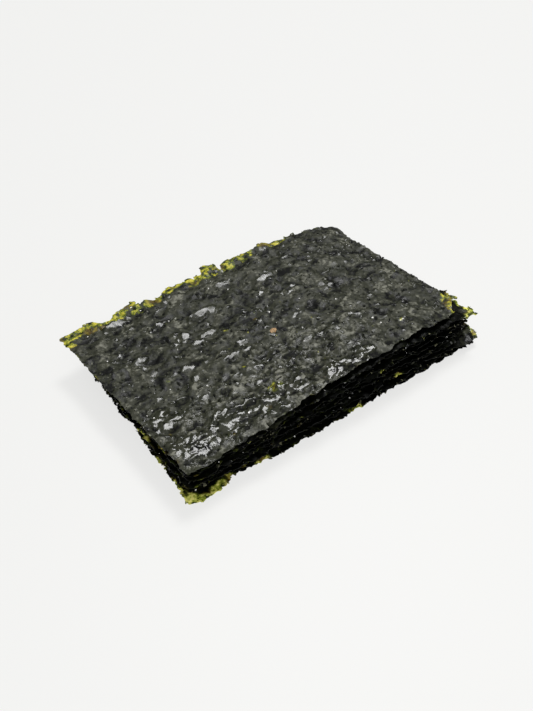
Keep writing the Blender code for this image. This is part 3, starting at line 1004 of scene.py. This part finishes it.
class NORI_OT_sheets(bpy.types.Operator):
    """Adds the crinkled sheets, from the lowest to the top one"""

    bl_idname = "nori.sheets"
    bl_label = "Add the sheets"

    def execute(self, context):
        settings = context.scene.nori
        # The lower sheets' materials are shaded copies of the top sheet's: their shreds painted near
        # black as painted shade, and less shiny.
        under = roasted_laver("roasted_laver", PAINTED_SHADE_UNDER_LOOK, TOP_LOOK,
                              specular=0.06, matt=0.40, glossy=0.20)
        touched = roasted_laver("touched_laver", PAINTED_SHADE_UNDER_LOOK, TOP_LOOK,
                                specular=0.16, matt=0.34, glossy=0.20)
        oiled = roasted_laver("oiled_laver", TOP_LOOK, TOP_LOOK,
                              specular=0.28, matt=0.52, glossy=0.08)
        floor = None
        for number in range(1, TOP + 1):
            top = number == TOP
            step = settings.top_step if top else settings.under_step
            relief = settings.relief * (1.0 if top else 0.7)
            material = oiled if top else touched if number == TOUCHED else under
            SHAPES[number] = sheet_piece(number, step, relief, floor, material)
            floor = on_grid(SHAPES[number], "high")
        return {"FINISHED"}


def anywhere(shape, tries, draw):
    """Random places over a shape's whole grid."""
    return [draw.uniform(shape[axis][0], shape[axis][-1], tries) for axis in ("x", "y")]


def scattered(number, count, nearest, farthest, draw):
    """Places on a sheet's face, within a range of distances from its edge, and crystal sizes."""
    shape = SHAPES[number]
    x, y = anywhere(shape, 40 * count, draw)
    inset = on_grid(shape, "inset")(x, y)
    fits = (inset > nearest) & (inset < farthest) & (on_grid(shape, "field")(x, y) > 0.05)
    x = x[fits][:count]
    y = y[fits][:count]
    sizes = 0.13 + 0.24 * draw.random(len(x)) ** 2
    z = np.maximum(on_grid(shape, "high")(x, y) + 0.2 * sizes, 0.9 * sizes)
    return np.column_stack((x, y, z)), sizes


def turned(right, up, angle):
    """Places turned by an angle, from the first axis to the second."""
    return (right * np.cos(angle) - up * np.sin(angle), right * np.sin(angle) + up * np.cos(angle))


def strips(roots, long, wide, bend, heading, pitch, roll):
    """Thin shreds of laver, one for each root, as points and triangles.

    A shred is a strip on a grid of two parameters, thickest along its middle. Its half width
    falls from its root to its tip as the square root of 1 - u^2, and it bends as u^2. It is
    rolled about its length, pitched up or down, and turned to its heading.
    """
    count = len(roots)
    u, v = np.meshgrid(np.linspace(0.0, 0.95, 4), np.linspace(-1.0, 1.0, 3), indexing="ij")
    size = u.size
    each = (slice(None), None, None)
    along = long[each] * u
    across = wide[each] * v * np.sqrt(1.0 - u * u)
    lift = bend[each] * long[each] * u * u
    thick = np.broadcast_to(0.045 * (1.0 - 0.7 * v * v), along.shape)
    flat = np.concatenate([
        np.stack((along, across, lift + side * thick), -1).reshape(count, size, 3)
        for side in (1.0, -1.0)], axis=1)
    x, y, z = np.moveaxis(flat, -1, 0)
    y, z = turned(y, z, roll[:, None])
    x, z = turned(x, z, pitch[:, None])
    x, y = turned(x, y, heading[:, None])
    points = np.stack((x, y, z), -1) + roots[:, None]
    points[..., 2] = np.maximum(points[..., 2], 0.02)

    corner = np.arange(size).reshape(u.shape)
    far = corner[1:, 1:]
    upper = np.concatenate((
        triangles_of(corner[:-1, :-1], corner[1:, :-1], far),
        triangles_of(corner[:-1, :-1], far, corner[:-1, 1:])))
    ring = np.concatenate((corner[:-1, 0], corner[-1, :-1], corner[:0:-1, -1], corner[0, :0:-1]))
    after = np.roll(ring, -1)
    wall = np.concatenate((
        triangles_of(ring + size, after + size, after), triangles_of(ring + size, after, ring)))
    one = np.concatenate((upper, upper[:, ::-1] + size, wall))
    faces = one[None] + 2 * size * np.arange(count)[:, None, None]
    return points.reshape(-1, 3), faces.reshape(-1, 3), 2 * size


def edge_shreds(number, count, draw):
    """Shreds that stand out from a sheet's edge: points, triangles, thin, tone, shine and where they
    lie open to the light.

    They are 0.35 to 1 mm long, and head along the slope of the distance from the edge.
    """
    shape = SHAPES[number]
    step = shape["x"][1] - shape["x"][0]
    slope_y, slope_x = np.gradient(shape["inset"], step)
    x, y = anywhere(shape, 60 * count, draw)
    field = on_grid(shape, "field")(x, y)
    fits = (field > 0.1) & (field < 0.5) & (on_grid(shape, "inset")(x, y) < 1.6)
    x = x[fits][:count]
    y = y[fits][:count]
    count = len(x)
    i = ((x - shape["x"][0]) / step).astype(int)
    j = ((y - shape["y"][0]) / step).astype(int)
    roots = np.column_stack((x, y, on_grid(shape, "high")(x, y) - 0.05))
    points, faces, each = strips(
        roots, 0.35 + 0.65 * draw.random(count) ** 2, 0.15 + 0.30 * draw.random(count),
        draw.uniform(-0.4, 0.4, count),
        np.arctan2(-slope_y[j, i], -slope_x[j, i]) + draw.uniform(-1.4, 1.4, count),
        draw.uniform(-0.5, 0.5, count), draw.uniform(-0.9, 0.9, count))
    green = on_grid(shape, "thin")(x, y) * draw.uniform(0.4, 1.4, count)
    thin = np.clip(green + 0.5 * (draw.random(count) > 0.93), 0.0, 1.0)
    # Edge shreds never lie open to the light, so they keep the dark look: painted shade of the walls
    # they stand out of.
    looks = (thin, draw.random(count), draw.uniform(0.0, 1.0, count), np.zeros(count))
    return (points, faces, *[np.repeat(look, each) for look in looks])


def surface_shreds(number, count, draw):
    """Shreds that lie loose on a sheet's face, in the same order of arrays.

    They are 0.25 to 0.9 mm long, lie by their middle on the face, and are most at the sheet's
    front left. None lies on a smooth blister, in a pit or near the edge.
    """
    shape = SHAPES[number]
    tries = 6 * count
    x, y = anywhere(shape, tries, draw)
    often = 0.4 + 0.6 * smooth((10.0 - x) / 30.0) * smooth((10.0 - y) / 20.0)
    fits = draw.random(tries) < often
    fits &= (on_grid(shape, "inset")(x, y) > 1.0) & (on_grid(shape, "shine")(x, y) > -0.1)
    fits &= (on_grid(shape, "still")(x, y) < 0.4) & (on_grid(shape, "field")(x, y) > 0.5)
    x = x[fits][:count]
    y = y[fits][:count]
    count = len(x)
    long = 0.25 + 0.65 * draw.random(count) ** 3
    heading = draw.uniform(-math.pi, math.pi, count)
    pitch = draw.uniform(-0.10, 0.14, count)
    middle = 0.5 * long
    height = on_grid(shape, "high")(x + middle * np.cos(heading), y + middle * np.sin(heading))
    roots = np.column_stack((x, y, height + 0.01 - middle * np.sin(pitch)))
    points, faces, each = strips(
        roots, long, 0.09 + 0.14 * draw.random(count), draw.uniform(-0.1, 0.1, count),
        heading, pitch, draw.uniform(-0.25, 0.25, count))
    thin = 0.6 * (draw.random(count) > 0.97)
    tone = 1.15 * draw.random(count) - 0.2
    looks = (thin, tone, draw.uniform(-0.6, 0.8, count), np.ones(count))
    return (points, faces, *[np.repeat(look, each) for look in looks])


class NORI_OT_shreds(bpy.types.Operator):
    """Adds the small shreds out of the sheets' edges, and the loose ones on the top sheet"""

    bl_idname = "nori.shreds"
    bl_label = "Add the shreds"

    def execute(self, context):
        settings = context.scene.nori
        draw = np.random.default_rng(SEED + 60)
        sets = [edge_shreds(number, settings.shred_count // (4 if number == TOP else 1), draw)
                for number in SHAPES]
        sets.append(surface_shreds(TOP, settings.chip_count, draw))
        starts = np.cumsum([0] + [len(each[0]) for each in sets[:-1]])
        points = np.concatenate([each[0] for each in sets])
        faces = np.concatenate([each[1] + start for each, start in zip(sets, starts)])
        looks = {label: np.concatenate([each[2 + at] for each in sets])
                 for at, label in enumerate(PATTERNS[:4])}
        mesh = mesh_of("shreds", points, faces, looks)
        # Painted shade on the edge shreds, the top sheet's own colour on the loose ones.
        mesh.materials.append(roasted_laver("laver_shreds", PAINTED_SHADE_SHRED_LOOK, TOP_LOOK,
                                            specular=0.4, matt=0.38, glossy=0.12))
        place("shreds", mesh)
        return {"FINISHED"}


class NORI_OT_salt(bpy.types.Operator):
    """Scatters salt crystals over the top sheet and along the edges of the others"""

    bl_idname = "nori.salt"
    bl_label = "Add the salt"

    def execute(self, context):
        settings = context.scene.nori
        draw = np.random.default_rng(SEED)
        groups = [scattered(TOP, settings.salt_count, 1.5, 40.0, draw)]
        for number in range(1, TOP):
            groups.append(scattered(number, settings.edge_salt_count, 0.1, 0.9, draw))
        places = np.concatenate([group[0] for group in groups])
        sizes = np.concatenate([group[1] for group in groups])
        points, faces = crystals(places, sizes, SEED + 1)
        mesh = mesh_of("salt", points, faces)
        mesh.shade_flat()
        mesh.materials.append(salt_grain("table_salt", settings.salt_colour))
        place("salt", mesh)
        return {"FINISHED"}


# The crumb on the top sheet: place, length, width and thickness in mm, and its turn in degrees.
CRUMB = (-3.6, -4.2, 2.1, 1.5, 0.40, 20.0)


class NORI_OT_crumb(bpy.types.Operator):
    """Adds the toasted crumb that lies on the top sheet"""

    bl_idname = "nori.crumb"
    bl_label = "Add the crumb"

    def execute(self, context):
        x, y, length, width, thickness, turn = CRUMB
        points, faces = pebble(length, width, thickness, 24, 12, SEED + 40)
        right, up = turned(points[:, 0], points[:, 1], math.radians(turn))
        under = on_grid(SHAPES[TOP], "high")(x + right, y + up)
        placed = np.column_stack((x + right, y + up, under + 0.3 * thickness + points[:, 2]))
        mesh = mesh_of("crumb", placed, faces)
        mesh.materials.append(toasted_crumb("toasted_crumb"))
        place("crumb", mesh)
        return {"FINISHED"}


def pebble(length, width, thickness, around, rings, seed):
    """A flat, lumpy pebble: an ellipsoid whose distance from its middle varies by noise.

    Each ring is a circle of points at one height, and a point at each pole closes the ends.
    """
    down = np.linspace(0.0, math.pi, rings + 2)[1:-1]
    turn = np.arange(around) * 2.0 * math.pi / around
    tilt, way = np.meshgrid(down, turn, indexing="ij")
    unit = np.stack((np.sin(tilt) * np.cos(way), np.sin(tilt) * np.sin(way), np.cos(tilt)), -1)
    unit = np.concatenate((unit.reshape(-1, 3), [(0.0, 0.0, 1.0), (0.0, 0.0, -1.0)]))
    x, y, z = unit.T
    lumps = 1.0 + 0.22 * noise(x + 0.5 * z, y - 0.4 * z, 0.6, seed)
    points = unit * lumps[:, None] * 0.5 * np.array((length, width, thickness))
    ring = np.arange(rings * around).reshape(rings, around)
    after = np.roll(ring, -1, axis=1)
    poles = np.full((2, around), rings * around) + [[0], [1]]
    return points, np.concatenate((
        triangles_of(ring[:-1], ring[1:], after[1:]),
        triangles_of(ring[:-1], after[1:], after[:-1]),
        triangles_of(poles[0], ring[0], after[0]), triangles_of(poles[1], after[-1], ring[-1])))


# The light from all round: grey where it comes level, and white from overhead.
SKY_STOPS = (
    (0.0, (0.08,) * 3), (0.40, (0.10,) * 3), (0.60, (0.34,) * 3), (0.78, (0.42,) * 3),
    (1.0, (1.15,) * 3))
# Two softboxes: place, width and height in mm. The first shines from behind, above the way that
# the top sheet mirrors the view, so that only leaning wrinkles catch it. The second fills in.
KEY_SOFTBOX = (560.0, 400.0, 1400.0), 480.0, 400.0
FILL_SOFTBOX = (-250.0, -400.0, 520.0), 500.0, 500.0
# The camera's place in mm, and how it is turned, in degrees, worked out from the photograph.
CAMERA_PLACE = (-90.81, -122.86, 139.97)
CAMERA_HEADING = 35.6
CAMERA_DIP = 42.57
CAMERA_ROLL = -1.14
# Half the side of the square ground, in mm.
GROUND_HALF = 1500.0


def camera_turn(heading, dip, roll):
    """A camera's rotation, in degrees: clockwise from +Y, below level, and about its own axis."""
    turned = Matrix.Rotation(math.radians(-heading), 3, "Z")
    dipped = Matrix.Rotation(math.radians(90.0 - dip), 3, "X")
    return turned @ dipped @ Matrix.Rotation(math.radians(roll), 3, "Z")


class NORI_OT_stage(bpy.types.Operator):
    """Adds the ground, the light and the camera"""

    bl_idname = "nori.stage"
    bl_label = "Add the stage"

    def execute(self, context):
        scene = context.scene
        studio = scene.nori_studio
        square = GROUND_HALF * np.array([(-1, -1, 0), (1, -1, 0), (1, 1, 0), (-1, 1, 0)])
        mesh = mesh_of("ground", square, np.array([(0, 1, 2), (0, 2, 3)]))
        mesh.materials.append(pale_ground("pale_ground"))
        ground = bpy.data.objects.new("ground", mesh)
        scene.collection.objects.link(ground)

        world = bpy.data.worlds.new("studio")
        world.use_nodes = True
        tree = world.node_tree
        tree.nodes.clear()
        way = node(tree, "ShaderNodeTexCoord").outputs["Generated"]
        height = node(tree, "ShaderNodeSeparateXYZ", _0=way).outputs["Z"]
        light = ramp(tree, height, SKY_STOPS).outputs[0]
        backdrop = node(tree, "ShaderNodeBackground", {"Strength": studio.sky}, Color=light)
        node(tree, "ShaderNodeOutputWorld", Surface=backdrop.outputs[0])
        scene.world = world
        self.add_softbox(scene, "key", KEY_SOFTBOX, studio.key)
        self.add_softbox(scene, "fill", FILL_SOFTBOX, studio.fill)

        lens = bpy.data.cameras.new("camera")
        lens.lens = studio.lens
        lens.sensor_width = 36.0
        lens.clip_start = 0.01
        camera = bpy.data.objects.new("camera", lens)
        camera.location = [c * MM for c in CAMERA_PLACE]
        camera.rotation_euler = camera_turn(CAMERA_HEADING, CAMERA_DIP, CAMERA_ROLL).to_euler()
        scene.collection.objects.link(camera)
        scene.camera = camera
        scene.view_settings.view_transform = "Standard"
        return {"FINISHED"}

    def add_softbox(self, scene, name, softbox, power):
        """A rectangular area light, aimed at the stack."""
        where, width, height = softbox
        light = bpy.data.lights.new(name, "AREA")
        light.shape = "RECTANGLE"
        light.size = width * MM
        light.size_y = height * MM
        light.energy = power
        lamp = bpy.data.objects.new(name, light)
        lamp.location = [c * MM for c in where]
        lamp.rotation_euler = (-lamp.location).to_track_quat("-Z", "Y").to_euler()
        scene.collection.objects.link(lamp)


class NORI_PT_panel(bpy.types.Panel):
    """The nori's operators in the sidebar"""

    bl_label = "Nori crisps"
    bl_space_type = "VIEW_3D"
    bl_region_type = "UI"
    bl_category = "Nori"

    def draw(self, context):
        for operator in OPERATORS:
            self.layout.operator(operator.bl_idname)


OPERATORS = (NORI_OT_sheets, NORI_OT_shreds, NORI_OT_salt, NORI_OT_crumb, NORI_OT_stage)
CLASSES = (NoriSettings, StudioSettings, *OPERATORS, NORI_PT_panel)


def register():
    for each in CLASSES:
        bpy.utils.register_class(each)
    bpy.types.Scene.nori = PointerProperty(type=NoriSettings)
    bpy.types.Scene.nori_studio = PointerProperty(type=StudioSettings)


def unregister():
    del bpy.types.Scene.nori_studio
    del bpy.types.Scene.nori
    for each in reversed(CLASSES):
        bpy.utils.unregister_class(each)


def main():
    """Builds everything."""
    register()
    bpy.ops.nori.sheets()
    bpy.ops.nori.shreds()
    bpy.ops.nori.salt()
    bpy.ops.nori.crumb()
    bpy.ops.nori.stage()


if __name__ == "__main__":
    main()
